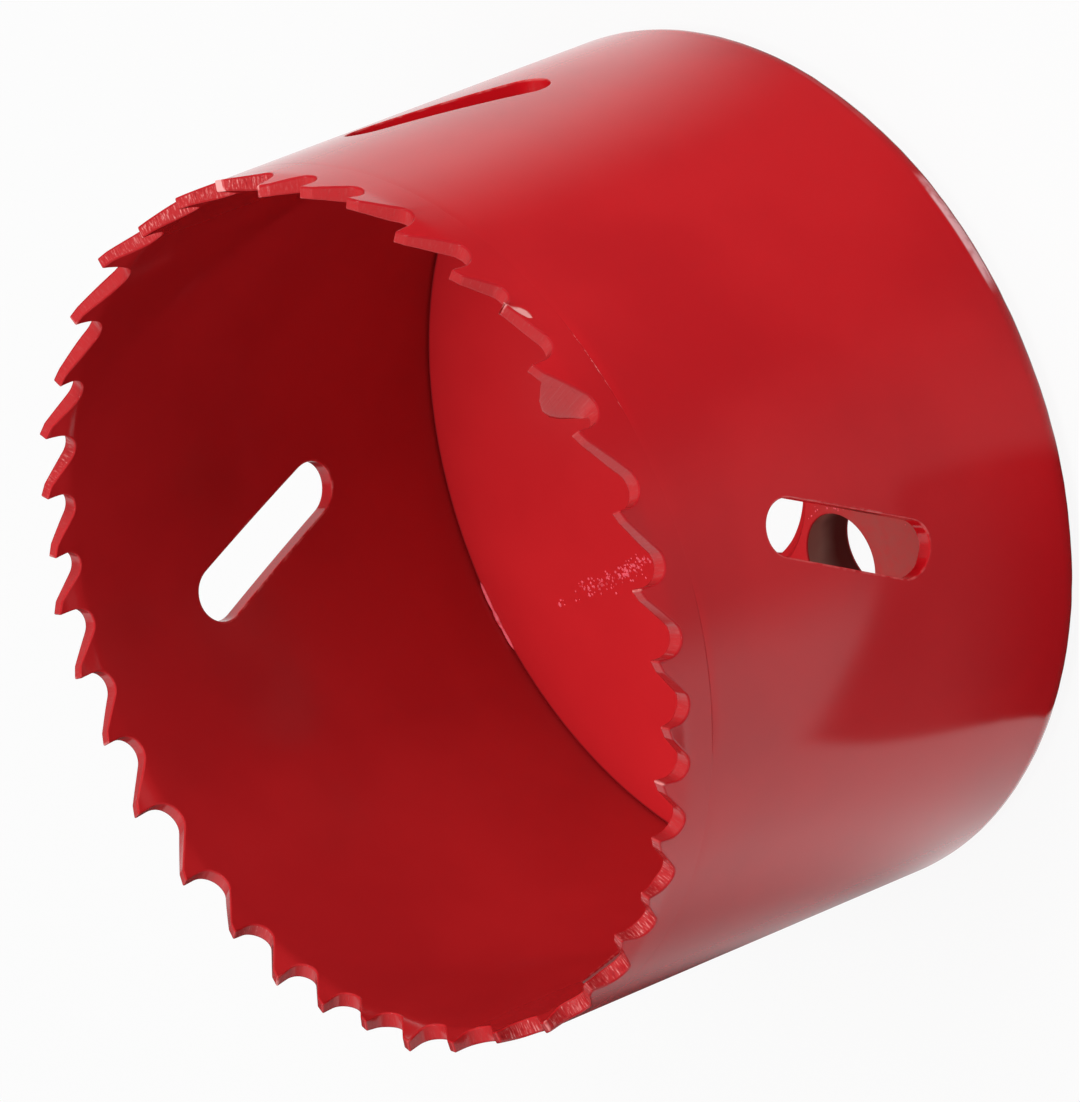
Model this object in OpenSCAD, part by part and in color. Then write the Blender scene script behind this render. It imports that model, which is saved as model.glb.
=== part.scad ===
// Bi-metal hole saw, standing on its back plate with the teeth up.
// The origin is the centre of the back plate's rear face, and +Z runs towards the teeth.
// Seen from the teeth, the cutting faces lead counterclockwise, which is clockwise from the drill.

/* [Cup] */
// Diameter of the hole that the saw cuts, over the teeth that are set outwards
cut_d = 64; // [56:0.5:80]
// Height from the rear face to the tooth tips
height = 41; // [34:0.5:52]
// Thickness of the band and of the teeth
wall = 1.2; // [0.9:0.05:1.4]

/* [Teeth] */
// Pitches from one tooth to the next, in the order in which they repeat round the rim
pitch_set = [6.1, 5.7, 4.9, 4.7, 4.5, 4.35, 4.8, 5.15, 5.55]; // [3.8:0.05:6.4]
// Number of teeth, a multiple of three so that the set pattern closes
tooth_count = 39; // [33:3:45]
// Pitch after the short tooth, where the repeating order breaks off
closing_pitch = 4.3; // [3.8:0.1:5.5]
// Angle of the short tooth, from which the teeth are counted
first_tooth_angle = -45.5; // [-180:0.5:180]
// How much lower the short tooth stands than the others
closing_drop = 1.05; // [0:0.05:1.3]
// How far a set tooth leans out or in at its tip
tooth_set = 0.33; // [0:0.01:0.5]
// Depth of the gullet at a pitch of gullet_pitch
gullet_depth = 2.45; // [2.2:0.05:3]
// Pitch at which the gullet has that depth
gullet_pitch = 5.1; // [4.5:0.1:6]
// Extra depth for each millimetre of pitch
gullet_gain = 0.3; // [0:0.05:0.4]
// Radius of the gullet for each millimetre of pitch
gullet_round = 0.25; // [0.2:0.01:0.27]
// Forward lean of the cutting face
rake_angle = 5; // [0:0.5:8]
// Slope of the short land behind the tip
relief_angle = 22; // [10:1:28]
// Length of that land
relief_length = 1; // [0.6:0.05:1.2]
// Height of the hard strip that carries the teeth
edge_height = 4.5; // [3.8:0.1:7]
// Bevel on each side of the line where the hard strip meets the band
seam_bevel = 0.07; // [0.03:0.01:0.15]
// Radius of the lump of weld left inside the joint that closes the ring
flash_radius = 2; // [1:0.1:2.2]
// Angle of that joint
flash_angle = -59.5; // [-180:0.5:180]
// Height of the lump's middle above the hard strip's lower edge
flash_level = 2.4; // [2.2:0.1:3]

/* [Slots] */
// Number of slots for prising out the core
slot_count = 4; // [2:1:4]
// Width of a slot
slot_width = 4.1; // [3:0.1:5.5]
// Length of a slot from end to end
slot_length = 15.3; // [10:0.1:19]
// Lean of a slot from the saw's axis
slot_lean = 24.5; // [0:0.5:35]
// Height of a slot's middle above the rear face
slot_level = 21.7; // [18:0.1:24]
// Angle of the first slot
slot_angle = -90; // [-180:1:180]

/* [Back plate] */
// Thickness of the plate
plate_thickness = 4.2; // [3:0.1:6]
// Gap between the plate's edge and the band
plate_gap = 0.05; // [0.03:0.01:0.15]
// Bevel round the plate's inner face
plate_bevel = 0.3; // [0.1:0.05:0.6]
// Diameter of the threaded hole for the arbor, over the thread's roots
arbor_d = 15.88; // [12.7:0.02:19.06]
// Bevel at each end of that hole
arbor_bevel = 0.3; // [0.1:0.05:1]
// Number of holes for the arbor's drive pins
pin_count = 4; // [2:1:4]
// Diameter of a drive pin hole
pin_d = 6.8; // [6:0.1:7.5]
// Diameter of the circle on which the pin holes lie
pin_circle_d = 24.4; // [24.4:0.1:30]
// Least metal between the centre hole's bevel and a pin hole
pin_web = 0.5; // [0.3:0.1:1]
// Angle of the first pin hole
pin_angle = -124; // [-180:1:180]

/* [Rear weld] */
// Radius of the weld bead that rounds the rear edge
bead_radius = 2.1; // [1.5:0.1:2.6]

/* [Hidden] */
$fn = 96;
enamel = [0.72, 0.07, 0.10];
outer_r = cut_d / 2 - tooth_set;
inner_r = outer_r - wall;
plate_r = inner_r - plate_gap;
arbor_r = arbor_d / 2;
// A larger centre hole pushes the pin holes out
pin_circle_r = max(pin_circle_d / 2, arbor_r + arbor_bevel + pin_web + pin_d / 2);
// The back plate's rear face ends where the weld bead starts to round away from it
face_r = outer_r - bead_radius;
// Level of the line where the hard strip meets the band
seam_level = height - edge_height;
// How far a cutter runs past what it cuts
clear = 5;
// The lump of weld stays this far inside the outer surface
flash_cover = wall / 4;

// The closing pitch is fixed, and the others are scaled together to fill the rest of the rim
rim = 2 * PI * outer_r;
plain_pitch = [for (i = [1:tooth_count - 1]) pitch_set[i % len(pitch_set)]];
pitch_scale = (rim - closing_pitch) / sum_to(plain_pitch, len(plain_pitch) - 1);
pitch = concat([closing_pitch], pitch_scale * plain_pitch);
tooth_angle = [for (i = [0:tooth_count - 1]) first_tooth_angle + rim_angle(sum_to(pitch, i - 1))];

// The teeth start to lean this far above the shallowest gullet's floor
set_rise = 0.1;
set_level = height - gullet_floor(min(pitch)) + set_rise;
// The blank stands this far above the tips, and the gullet cuts bring it down to them
blank_rise = 0.6;
blank_top = height + blank_rise;
// A gullet cut runs this far past the next tip, along the slope of its land
past_tip = 0.75;
// Half the gap between two tooth blanks, which lies inside the gullet
blank_gap = 0.15;
// The gullet's straight sides end just inside its circle, by this share of the radius
side_reach = 0.995;

function sum_to(values, last) = last < 0 ? 0 : values[last] + sum_to(values, last - 1);
function rim_angle(length) = 360 * length / rim;
function gullet_floor(p) = gullet_depth + gullet_gain * (p - gullet_pitch);
function gullet_radius(p) = gullet_round * p;
// Middle of the gullet's circle, which touches the floor and the cutting face, from the tip
function gullet_middle(p) =
    let (r = gullet_radius(p), drop = gullet_floor(p) - r)
    [r / cos(rake_angle) - drop * tan(rake_angle), -drop];
// Out, straight and in, by turns
function set_of(i) = tooth_set * [1, 0, -1][i % 3];
function drop_of(i) = i == 0 ? closing_drop : 0;

// What is cut away between two tips, with the first tip at the origin and the strip laid flat
module gullet_outline(p, next_drop) {
    r = gullet_radius(p);
    middle = gullet_middle(p);
    next_tip = [cut_d / 2 * sin(rim_angle(p)), -next_drop];
    land_slope = [cos(relief_angle), sin(relief_angle)];
    land_foot = next_tip - relief_length * land_slope;
    reach = land_foot - middle;
    back_angle = atan2(reach.y, reach.x) + asin(r / norm(reach));
    beyond = next_tip + past_tip * land_slope;
    translate(middle) circle(r);
    polygon([
        [clear * tan(rake_angle), clear],
        middle + side_reach * r * [-cos(rake_angle), sin(rake_angle)],
        middle,
        middle + side_reach * r * [sin(back_angle), -cos(back_angle)],
        land_foot,
        beyond,
        [beyond.x, clear]
    ]);
}

module gullet_cut(i) {
    rotate([0, 0, tooth_angle[i]])
        translate([outer_r - clear, 0, height])
            rotate([90, 0, 90])
                linear_extrude(2 * clear) gullet_outline(pitch[i], drop_of((i + 1) % tooth_count));
}

// A sector of the rim, from gullet to gullet, that leans by the tooth's set
module tooth_blank(i) {
    before = pitch[(i + tooth_count - 1) % tooth_count];
    from = tooth_angle[i] - rim_angle(before - gullet_middle(before).x - blank_gap);
    to = tooth_angle[i] + rim_angle(gullet_middle(pitch[i]).x - blank_gap);
    lean = set_of(i) * (blank_top - set_level) / (height - set_level);
    rotate_extrude(angle = to - from, start = from)
        polygon([
            [inner_r, set_level],
            [outer_r, set_level],
            [outer_r + lean, blank_top],
            [inner_r + lean, blank_top]
        ]);
}

// A plain stretch of the rolled strip, with a bevel at each edge that meets a seam
module strip_ring(low, high, low_bevel, high_bevel) {
    rotate_extrude()
        polygon([
            [inner_r + low_bevel, low],
            [outer_r - low_bevel, low],
            [outer_r, low + low_bevel],
            [outer_r, high - high_bevel],
            [outer_r - high_bevel, high],
            [inner_r + high_bevel, high],
            [inner_r, high - high_bevel],
            [inner_r, low + low_bevel]
        ]);
}

// Lump inside the closing joint, which the wall hides from outside
module weld_flash() {
    rotate([0, 0, flash_angle])
        translate([outer_r - flash_cover - flash_radius, 0, seam_level + flash_level])
            rotate([0, 90, 0]) sphere(flash_radius);
}

// Neighbouring cuts cross above the tip between them, so a turn cuts every third gullet
module cut_teeth(turn) {
    difference() {
        if (turn == 0)
            union() {
                strip_ring(seam_level, set_level, seam_bevel, 0);
                for (i = [0:tooth_count - 1]) tooth_blank(i);
                weld_flash();
            }
        else cut_teeth(turn - 1);
        for (i = [turn:3:tooth_count - 1]) gullet_cut(i);
    }
}

// Hard steel strip, with teeth of varied pitch that are set out, straight and in by turns
module toothed_edge() {
    color(enamel) cut_teeth(2);
}

module slot_cut(angle) {
    straight = slot_length - slot_width;
    rotate([0, 0, angle])
        translate([outer_r - clear, 0, slot_level])
            rotate([90, 0, 90])
                linear_extrude(2 * clear)
                    rotate(-slot_lean) {
                        square([slot_width, straight], center = true);
                        for (end = [-0.5, 0.5]) translate([0, end * straight]) circle(d = slot_width);
                    }
}

// Spring steel band below the hard strip
module slotted_band() {
    color(enamel)
        difference() {
            strip_ring(bead_radius, seam_level, 0, seam_bevel);
            for (k = [0:slot_count - 1]) slot_cut(slot_angle + 360 * k / slot_count);
        }
}

// Plate that closes the cup, with the arbor's thread and its drive pin holes
module back_plate() {
    color(enamel)
        difference() {
            rotate_extrude()
                polygon([
                    [arbor_r + arbor_bevel, 0],
                    [face_r, 0],
                    [plate_r, bead_radius],
                    [plate_r, plate_thickness - plate_bevel],
                    [plate_r - plate_bevel, plate_thickness],
                    [arbor_r + arbor_bevel, plate_thickness],
                    [arbor_r, plate_thickness - arbor_bevel],
                    [arbor_r, arbor_bevel]
                ]);
            for (k = [0:pin_count - 1])
                rotate([0, 0, pin_angle + 360 * k / pin_count])
                    translate([pin_circle_r, 0, -clear])
                        cylinder(d = pin_d, h = plate_thickness + 2 * clear);
        }
}

// Bead that fills the corner between the band's end and the plate's rear bevel
module rear_weld() {
    color(enamel)
        rotate_extrude()
            intersection() {
                translate([face_r, bead_radius]) circle(bead_radius);
                polygon([
                    [face_r, -clear],
                    [face_r, 0],
                    [plate_r, bead_radius],
                    [outer_r + clear, bead_radius],
                    [outer_r + clear, -clear]
                ]);
            }
}

toothed_edge();
slotted_band();
back_plate();
rear_weld();
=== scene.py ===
import math

import bmesh
import bpy
import numpy as np
from mathutils import Matrix


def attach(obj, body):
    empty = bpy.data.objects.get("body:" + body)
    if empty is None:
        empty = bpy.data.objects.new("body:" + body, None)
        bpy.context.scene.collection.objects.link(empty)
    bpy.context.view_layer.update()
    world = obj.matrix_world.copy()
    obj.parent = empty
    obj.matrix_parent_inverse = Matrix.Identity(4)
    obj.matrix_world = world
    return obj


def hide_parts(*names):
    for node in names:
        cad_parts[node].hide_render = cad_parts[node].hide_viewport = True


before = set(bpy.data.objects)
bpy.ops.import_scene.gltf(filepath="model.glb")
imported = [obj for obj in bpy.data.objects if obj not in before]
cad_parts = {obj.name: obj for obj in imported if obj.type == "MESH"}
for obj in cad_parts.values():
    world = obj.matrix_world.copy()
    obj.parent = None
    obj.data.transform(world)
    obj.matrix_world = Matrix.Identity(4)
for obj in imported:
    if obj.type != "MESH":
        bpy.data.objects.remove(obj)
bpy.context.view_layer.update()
print("frame loaded")

# Sizes of the saw as in part.scad, in millimetres and degrees
saw = {
    "outerR": 31.67,
    "innerR": 30.47,
    "height": 41,
    "seamLevel": 36.5,
    "beadRadius": 2.1,
    "faceR": 29.57,
    "plateR": 30.42,
    "plateThickness": 4.2,
    "plateBevel": 0.3,
    "boreR": 7.94,
    "boreBevel": 0.3,
}
# Groove where the hard strip meets the band: faint all round, and deeper in stretches, each with its middle,
# half length and share of the depth
seam = {
    "depth": 0.06,
    "faint": 0.08,
    "stretches": [(-58, 10, 0.8), (-99, 13, 0.5), (40, 22, 0.5), (118, 30, 0.35), (-170, 16, 0.6)],
    "fade": 6,
    "unevenSeed": 12,
    "unevenCounts": [37, 61, 90, 143],
    "unevenShare": 0.25,
    # Painted highlight on the band's outer bevel at the seam
    "edgeHighlight": 0.5,
    # Painted highlight along the groove, and the depths between which it sets in
    "wear": 1.4,
    "wearDepths": (0.028, 0.038),
}
outOfRound = {"size": 0.012, "seed": 5, "counts": [3, 5, 8, 13, 21], "rise": 0.1}
# Places across the strip that the attribute mark holds
acrossAt = {"outerEdge": 0.05, "top": 0.1, "innerEdge": 1.15, "inside": 1.2}
rim = 2 * math.pi * saw["outerR"]
metre = 0.001
mergeReach = 0.0008


def polar(radius, angle, level):
    # Points from a radius, an angle in radians and a level, which may be arrays of one shape
    radius, angle, level = np.broadcast_arrays(radius, angle, level)
    return np.stack([radius * np.cos(angle), radius * np.sin(angle), level], -1)


def flatPoint(radius, degrees):
    # x and y of a point, from its radius and its angle
    return radius * np.array([math.cos(math.radians(degrees)), math.sin(math.radians(degrees))])


def angleFrom(degrees, middle):
    # Size of the angle between directions and a middle, |(a - m + 180) mod 360 - 180|
    return np.abs((degrees - middle + 180) % 360 - 180)


def waves(angle, level, seed, counts, rise):
    # Sum of sines with whole numbers of waves a turn, so that it closes round the saw, scaled to about -1..1
    random = np.random.default_rng(seed)
    total = 0
    for count in counts:
        phase, slope = random.uniform(0, 2 * np.pi), random.uniform(-rise, rise)
        total = total + np.sin(count * angle + slope * level + phase)
    return total / len(counts)


def swell(angle, level):
    # The ring isn't quite round: size * waves(angle, level), alike in every piece
    return outOfRound["size"] * waves(angle, level, outOfRound["seed"], outOfRound["counts"], outOfRound["rise"])


def smoothStep(value, low, high):
    # 0 below low, 1 above high, and a cubic ease between
    share = np.clip((value - low) / (high - low), 0, 1)
    return share * share * (3 - 2 * share)


def seamDepth(angle):
    # Depth of the groove: its share of the full depth at each angle, by an uneven 0.75 + 0.25 * waves
    share = seam["faint"]
    for middle, half, gain in seam["stretches"]:
        share = share + gain * smoothStep(-angleFrom(np.degrees(angle), middle), -half, -half + seam["fade"])
    ripple = waves(angle, 0, seam["unevenSeed"], seam["unevenCounts"], 0)
    uneven = 1 - seam["unevenShare"] + seam["unevenShare"] * ripple
    return seam["depth"] * np.clip(share, 0, 1) * uneven


# Steps round a rounded edge: how far back from the corner along each of its two sides, as shares of its radius
cornerSteps = [(1 - np.sin(turn), 1 - np.cos(turn)) for turn in np.linspace(0, np.pi / 2, 5)[1:]]


def quarterBorder(arc, sides):
    # Border of a quarter as angle and side: along its high end, down the last angle, back along its low end and
    # up the first angle
    return np.concatenate(
        [
            np.stack([arc, np.full(len(arc), sides[-1])], -1)[:-1],
            np.stack([np.full(len(sides), arc[-1]), sides[::-1]], -1)[:-1],
            np.stack([arc[::-1], np.full(len(arc), sides[0])], -1)[:-1],
            np.stack([np.full(len(sides), arc[0]), sides], -1),
        ]
    )


def shell(name, sheets, creaseAngle=40):
    # Joins grids of points that share their borders into one closed mesh. A sheet is its points, in millimetres,
    # and their attribute mark: wear and painted highlights, then the length along the strip or the plate's corner
    # with its painted shade, then the place across the strip, whose inside takes a painted shade, or the plate's
    # dust. Below zero the first is coarse grinding with painted glints on the teeth and bare steel on the plate.
    points, faces, marks = [], [], []
    start = 0
    for place, mark in sheets:
        rows, columns = place.shape[:2]
        index = start + np.arange(rows * columns).reshape(rows, columns)
        corners = [index[:-1, :-1], index[1:, :-1], index[1:, 1:], index[:-1, 1:]]
        faces.append(np.stack(corners, -1).reshape(-1, 4))
        points.append(place.reshape(-1, 3))
        marks.append(np.broadcast_to(mark, (rows, columns, 3)).reshape(-1, 3))
        start += rows * columns
    mesh = bpy.data.meshes.new(name)
    mesh.from_pydata((np.concatenate(points) * metre).tolist(), [], np.concatenate(faces).tolist())
    mark = mesh.attributes.new("mark", "FLOAT_VECTOR", "POINT")
    mark.data.foreach_set("vector", np.concatenate(marks).astype(np.float32).ravel())
    work = bmesh.new()
    work.from_mesh(mesh)
    bmesh.ops.remove_doubles(work, verts=work.verts, dist=mergeReach * metre)
    bmesh.ops.recalc_face_normals(work, faces=work.faces)
    work.to_mesh(mesh)
    openEdges = sum(1 for edge in work.edges if len(edge.link_faces) != 2)
    work.free()
    mesh.shade_smooth()
    mesh.set_sharp_from_angle(angle=math.radians(creaseAngle))
    piece = bpy.data.objects.new(name, mesh)
    bpy.context.scene.collection.objects.link(piece)
    print(name, len(mesh.polygons), "faces,", openEdges, "open edges")
    return piece


# The hard strip with the teeth
teeth = {
    "pitchSet": [6.1, 5.7, 4.9, 4.7, 4.5, 4.35, 4.8, 5.15, 5.55],
    "count": 39,
    "closingPitch": 4.3,
    "firstAngle": -45.5,
    "closingDrop": 1.05,
    "gulletDepth": 2.45,
    "gulletPitch": 5.1,
    "gulletGain": 0.3,
    "gulletRound": 0.25,
    "rake": 5,
    "relief": 22,
    "reliefLength": 1,
    "tipRound": 0.1,
    # Where the points of an outline lie: on the tip's arc before and after the joint between two teeth, on the
    # cutting face, round the gullet, on the back and on the land
    "tipShares": [0.5, 0.75, 1],
    "nextTipShares": [0, 0.25],
    "faceShares": [0.15, 0.4, 0.7],
    "gulletSteps": 15,
    "backShares": [0.1, 0.3, 0.5, 0.7, 0.9, 0.98],
    "landShares": [0.04, 0.3, 0.6, 0.85],
    # A tooth's columns stand further back at the foot, and the set changes over in the middle of a gullet
    "baseLag": 1.5,
    "set": 0.33,
    "setChange": 0.35,
    "bendLevel": 38.89,
    "bend": 0.35,
    # Wear and painted glints at the tips: the least, the most and the power of its draw, how far it reaches down
    # the cutting face and the land, how much further on a bare, glinting tooth, and where it is full
    "wearSeed": 4,
    "wearDraw": (0.1, 0.84, 2),
    "faceReach": 0.55,
    "landReach": 0.4,
    "bareAndGlintReach": 0.3,
    "wearCore": 0.1,
    "mostWearAndHighlight": 1.6,
    "bareAndGlintTips": {6: 3.0, 5: 0.9, 0: 0.8},
    # Painted glint on the outer face of the short tooth: where along the rim, half length, depth below the edge
    # and half height
    "glintPatch": (-1.25, 1.0, 0.5, 0.6),
    # Teeth whose grinding marks show more, with painted glints and darker streaks, where they are worn less than
    # the limit
    "coarseAndGlintTeeth": {
        4: 0.3, 5: 1.0, 6: 1.0, 7: 1.0, 8: 0.5, 12: 0.5, 20: 0.4,
        26: 0.8, 27: 1.0, 28: 1.0, 29: 0.9, 30: 0.6,
    },
    "coarseAndGlintLimit": 0.2,
    # The section: rows down each side, the rounded edges, and the rows across the top
    "flankSteps": 18,
    "flankPower": 1.6,
    "flankLast": 0.984,
    "edgeRound": 0.12,
    "outerDip": 0.08,
    "topShares": [0.06, 0.2, 0.35, 0.5, 0.64, 0.76, 0.86, 0.93, 0.98],
    "innerEdgeWear": 0.25,
    "tipThin": 0.34,
    "thinFrom": 38.7,
    # The lump of weld, and its skirt's height, start and reach
    "lumpAngle": -59.5,
    "lumpLevel": 38.9,
    "lumpRadius": 2.15,
    "lumpHeight": 3.1,
    "lumpPower": 0.8,
    "lumpSkirt": (0.12, 0.95, 0.16),
    "lumpFall": 0.12,
}


def toothOutline():
    # Outline of the rim laid flat: each tooth's tip, cutting face, round gullet, back and land, as x along the rim
    # and z from the tips, with the length so far as a share of the tooth
    t = teeth
    count = t["count"]
    plain = np.array([t["pitchSet"][i % len(t["pitchSet"])] for i in range(1, count)])
    pitch = np.concatenate([[t["closingPitch"]], plain * (rim - t["closingPitch"]) / plain.sum()])
    start = np.concatenate([[0], np.cumsum(pitch)[:-1]])
    onward = np.stack([pitch, np.zeros(count)], -1)
    rake, relief = np.radians(t["rake"]), np.radians(t["relief"])
    floor = t["gulletDepth"] + t["gulletGain"] * (pitch - t["gulletPitch"])
    radius = t["gulletRound"] * pitch
    sunk = floor - radius
    middle = np.stack([radius / np.cos(rake) - sunk * np.tan(rake), -sunk], -1)
    drop = np.zeros(count)
    drop[0] = t["closingDrop"]
    tipZ = -drop / (1 - np.tan(relief) * np.tan(rake))
    tip = np.stack([tipZ * np.tan(rake), tipZ], -1)
    nextTip = np.roll(tip, -1, 0) + onward
    landWay = np.array([np.cos(relief), np.sin(relief)])
    landFoot = np.stack([pitch, -np.roll(drop, -1)], -1) - t["reliefLength"] * landWay
    reach = landFoot - middle
    back = np.arctan2(reach[:, 1], reach[:, 0]) + np.arcsin(radius / np.hypot(*reach.T))
    # The tip is rounded by an arc that touches the land before it and the face after it
    half = (np.pi / 2 - rake - relief) / 2
    trim = t["tipRound"] / np.tan(half)
    faceWay = -np.array([np.sin(rake), np.cos(rake)])
    inward = faceWay - landWay
    inward = inward / np.hypot(*inward)
    heart = tip + inward * t["tipRound"] / np.sin(half)

    def line(first, last, shares):
        # Points between two ends, by their shares of the way
        return first[:, None] + (last - first)[:, None] * np.array(shares)[None, :, None]

    def nose(hearts, shares):
        # Points of the tips' arcs round their hearts, by their shares of the turn
        turn = np.pi / 2 + relief - (np.pi - 2 * half) * np.array(shares)
        return hearts[:, None] + t["tipRound"] * np.stack([np.cos(turn), np.sin(turn)], -1)[None]

    tipArc = nose(heart, t["tipShares"])
    arcTurn = np.pi - rake + (np.pi / 2 + back + rake)[:, None] * np.linspace(0, 1, t["gulletSteps"])[None, :]
    gullet = middle[:, None] + radius[:, None, None] * np.stack([np.cos(arcTurn), np.sin(arcTurn)], -1)
    face = line(tip + trim * faceWay, gullet[:, 0], t["faceShares"])
    backSlope = line(gullet[:, -1], landFoot, t["backShares"])
    land = line(landFoot, nextTip - trim * landWay, t["landShares"])
    nextArc = nose(np.roll(heart, -1, 0) + onward, t["nextTipShares"])
    tooth = np.concatenate([tipArc, face, gullet, backSlope, land, nextArc], 1)
    wrapped = np.concatenate([tooth, np.roll(tipArc[:, :1], -1, 0) + onward[:, None]], 1)
    length = np.cumsum(np.hypot(*np.moveaxis(np.diff(wrapped, axis=1), -1, 0)), 1)
    share = np.concatenate([np.zeros((count, 1)), length[:, :-1]], 1) / length[:, -1:]
    x = (start[:, None] + tooth[:, :, 0]).ravel()
    footX = (start[:, None] + share * pitch[:, None]).ravel() - t["baseLag"]
    along = (start[:, None] + share * length[:, -1:]).ravel()
    swing = np.array([1, 0, -1])[np.arange(count) % 3] * t["set"]
    over = smoothStep(tooth[:, :, 0] - middle[:, :1], -t["setChange"], t["setChange"])
    lean = swing[:, None] * (1 - over) + np.roll(swing, -1)[:, None] * over
    least, most, power = t["wearDraw"]
    wornAndHighlighted = np.random.default_rng(t["wearSeed"]).uniform(least, most, count) ** power
    for bareAndGlintTooth, strength in t["bareAndGlintTips"].items():
        wornAndHighlighted[bareAndGlintTooth] = strength

    def wearNear(point, amount, reach):
        # Wear and painted glints round a tip: amount * smoothStep of the distance, from the reach to the core
        away = np.hypot(tooth[:, :, 0] - point[:, :1], tooth[:, :, 1] - point[:, 1:])
        return amount[:, None] * smoothStep(-away, -reach, -t["wearCore"])

    nextWornAndHighlighted = np.roll(wornAndHighlighted, -1)
    nextReach = t["landReach"] + t["bareAndGlintReach"] * np.clip(nextWornAndHighlighted - 1, 0, None)
    wear = wearNear(tip, wornAndHighlighted, t["faceReach"]) + wearNear(nextTip, nextWornAndHighlighted, nextReach[:, None])
    return x, tooth[:, :, 1].ravel(), footX, lean.ravel(), along, np.clip(wear, 0, t["mostWearAndHighlight"]).ravel()


def makeToothedEdge():
    # Section carried round the rim: up the outside, over the rounded edge, across the strip, and down the inside.
    # Its top follows the tooth outline and its foot is level, and a set tooth leans more the higher it is.
    # Over the lump the strip's top falls away inwards as z = (1 - u^3)^(1/3).
    t = teeth
    x, z, footX, lean, along, wear = toothOutline()
    outline = np.stack([x, z + saw["height"]], -1)
    before, after = np.roll(outline, 1, 0), np.roll(outline, -1, 0)
    before[0, 0] -= rim
    after[-1, 0] += rim
    first, second = outline - before, after - outline
    way = first / np.hypot(*first.T)[:, None] + second / np.hypot(*second.T)[:, None]
    way = way / np.hypot(*way.T)[:, None]
    inward = np.stack([way[:, 1], -way[:, 0]], -1)
    foot = np.stack([footX, np.full_like(x, saw["seamLevel"] + seam["depth"])], -1)
    edgeRound = t["edgeRound"]
    outer = outline - [0, t["outerDip"]]
    brow = outer + edgeRound * inward
    drops = np.append((np.arange(t["flankSteps"]) / t["flankSteps"]) ** t["flankPower"], [t["flankLast"], 1])
    skirt, skirtStart, skirtReach = t["lumpSkirt"]

    def angleAt(place):
        # The length along the rim, over its radius, from the first tooth on
        return np.radians(t["firstAngle"]) + place[:, 0] / saw["outerR"]

    def bent(rise):
        # Rise above a gentle bend, (h + sqrt(h^2 + b^2)) / 2
        return (rise + np.sqrt(rise**2 + t["bend"] ** 2)) / 2

    def lump(place):
        # Rounded lump on the inside of the closing joint, height * (1 - u^2)^0.8, with a soft foot
        turn = (angleAt(place) - np.radians(t["lumpAngle"]) + np.pi) % (2 * np.pi) - np.pi
        apart = np.hypot(turn * saw["outerR"], place[:, 1] - t["lumpLevel"]) / t["lumpRadius"]
        core = np.clip(1 - apart**2, 0, 1) ** t["lumpPower"] * t["lumpHeight"]
        return np.maximum(core, skirt * np.exp(-((np.clip(apart - skirtStart, 0, None) / skirtReach) ** 2)))

    def row(place, depth, inside):
        # Points at a depth below the strip's outer or inner surface. The set is full at the tips.
        angle = angleAt(place)
        shift = lean * (bent(place[:, 1] - t["bendLevel"]) / bent(saw["height"] - t["bendLevel"]))
        wobble = swell(angle, place[:, 1])
        if inside:
            thin = t["tipThin"] * smoothStep(place[:, 1], t["thinFrom"], saw["height"])
            return polar(saw["innerR"] + shift + wobble + depth + thin - lump(place), angle, place[:, 1])
        return polar(saw["outerR"] + shift + wobble - depth, angle, place[:, 1])

    rows, edges, across = [], [], []

    def add(points, edge, place):
        rows.append(points)
        edges.append(edge)
        across.append(place)

    for share in drops[::-1]:
        add(row(brow + (foot - brow) * share, 0, False), 0, 0)
    for back, down in cornerSteps:
        add(row(outer + edgeRound * back * inward, edgeRound * down, False), 0, acrossAt["outerEdge"])
    # Inside, each column starts lower by its share of the lump's fall
    innerTop = outline + edgeRound * inward
    fall = t["lumpFall"] * np.clip(lump(innerTop) - skirt, 0, None)
    innerBrow = innerTop + (foot - innerTop) * (fall / (innerTop - foot)[:, 1])[:, None]
    innerRows = []
    for back, down in cornerSteps[::-1]:
        innerRows.append(row(innerBrow - edgeRound * (1 - back) * inward, edgeRound * down, True))
    outerTop = rows[-1]
    for share in t["topShares"]:
        arch = fall * ((1 - share**3) ** (1 / 3) - (1 - share))
        points = outerTop * (1 - share) + innerRows[0] * share + np.stack([0 * fall, 0 * fall, arch], -1)
        add(points, 0, acrossAt["top"] + share)
    for points in innerRows:
        add(points, t["innerEdgeWear"], acrossAt["innerEdge"])
    # The inside rows take the darker inside colour, a painted shade
    for share in drops:
        add(row(innerBrow + (foot - innerBrow) * share, 0, True), 0, acrossAt["inside"])
    # The seam shows only outside, as a groove whose depth changes round the rim
    low = foot * [1, 0] + [0, saw["seamLevel"]]
    groove = seamDepth(angleAt(foot))
    add(row(low, 0, True), 0, acrossAt["inside"])
    seamRow = len(rows)
    add(row(low, groove, False), 0, 0)
    add(rows[0], 0, 0)
    points = np.stack(rows)
    marks = np.zeros(points.shape)
    # The tips' wear and painted glints lie on the top, on both rounded edges and just below the outer one
    flank = len(drops)
    near = np.array([0 < place < acrossAt["inside"] for place in across], int)
    near[flank - 3 : flank] = 1
    marks[:, :, 0] = np.array(edges)[:, None] + near[:, None] * wear[None, :]
    # Painted glint on the short tooth's outer face, just below the edge
    middle, half, depth, high = t["glintPatch"]
    alongTip = np.clip(1 - ((((x + rim / 2) % rim - rim / 2) - middle) / half) ** 2, 0, 1)
    below = np.abs(points[:flank, :, 2] - outer[None, :, 1] + depth) / high
    marks[:flank, :, 0] += t["mostWearAndHighlight"] * alongTip[None, :] * np.clip(1 - below**2, 0, 1)
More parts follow.
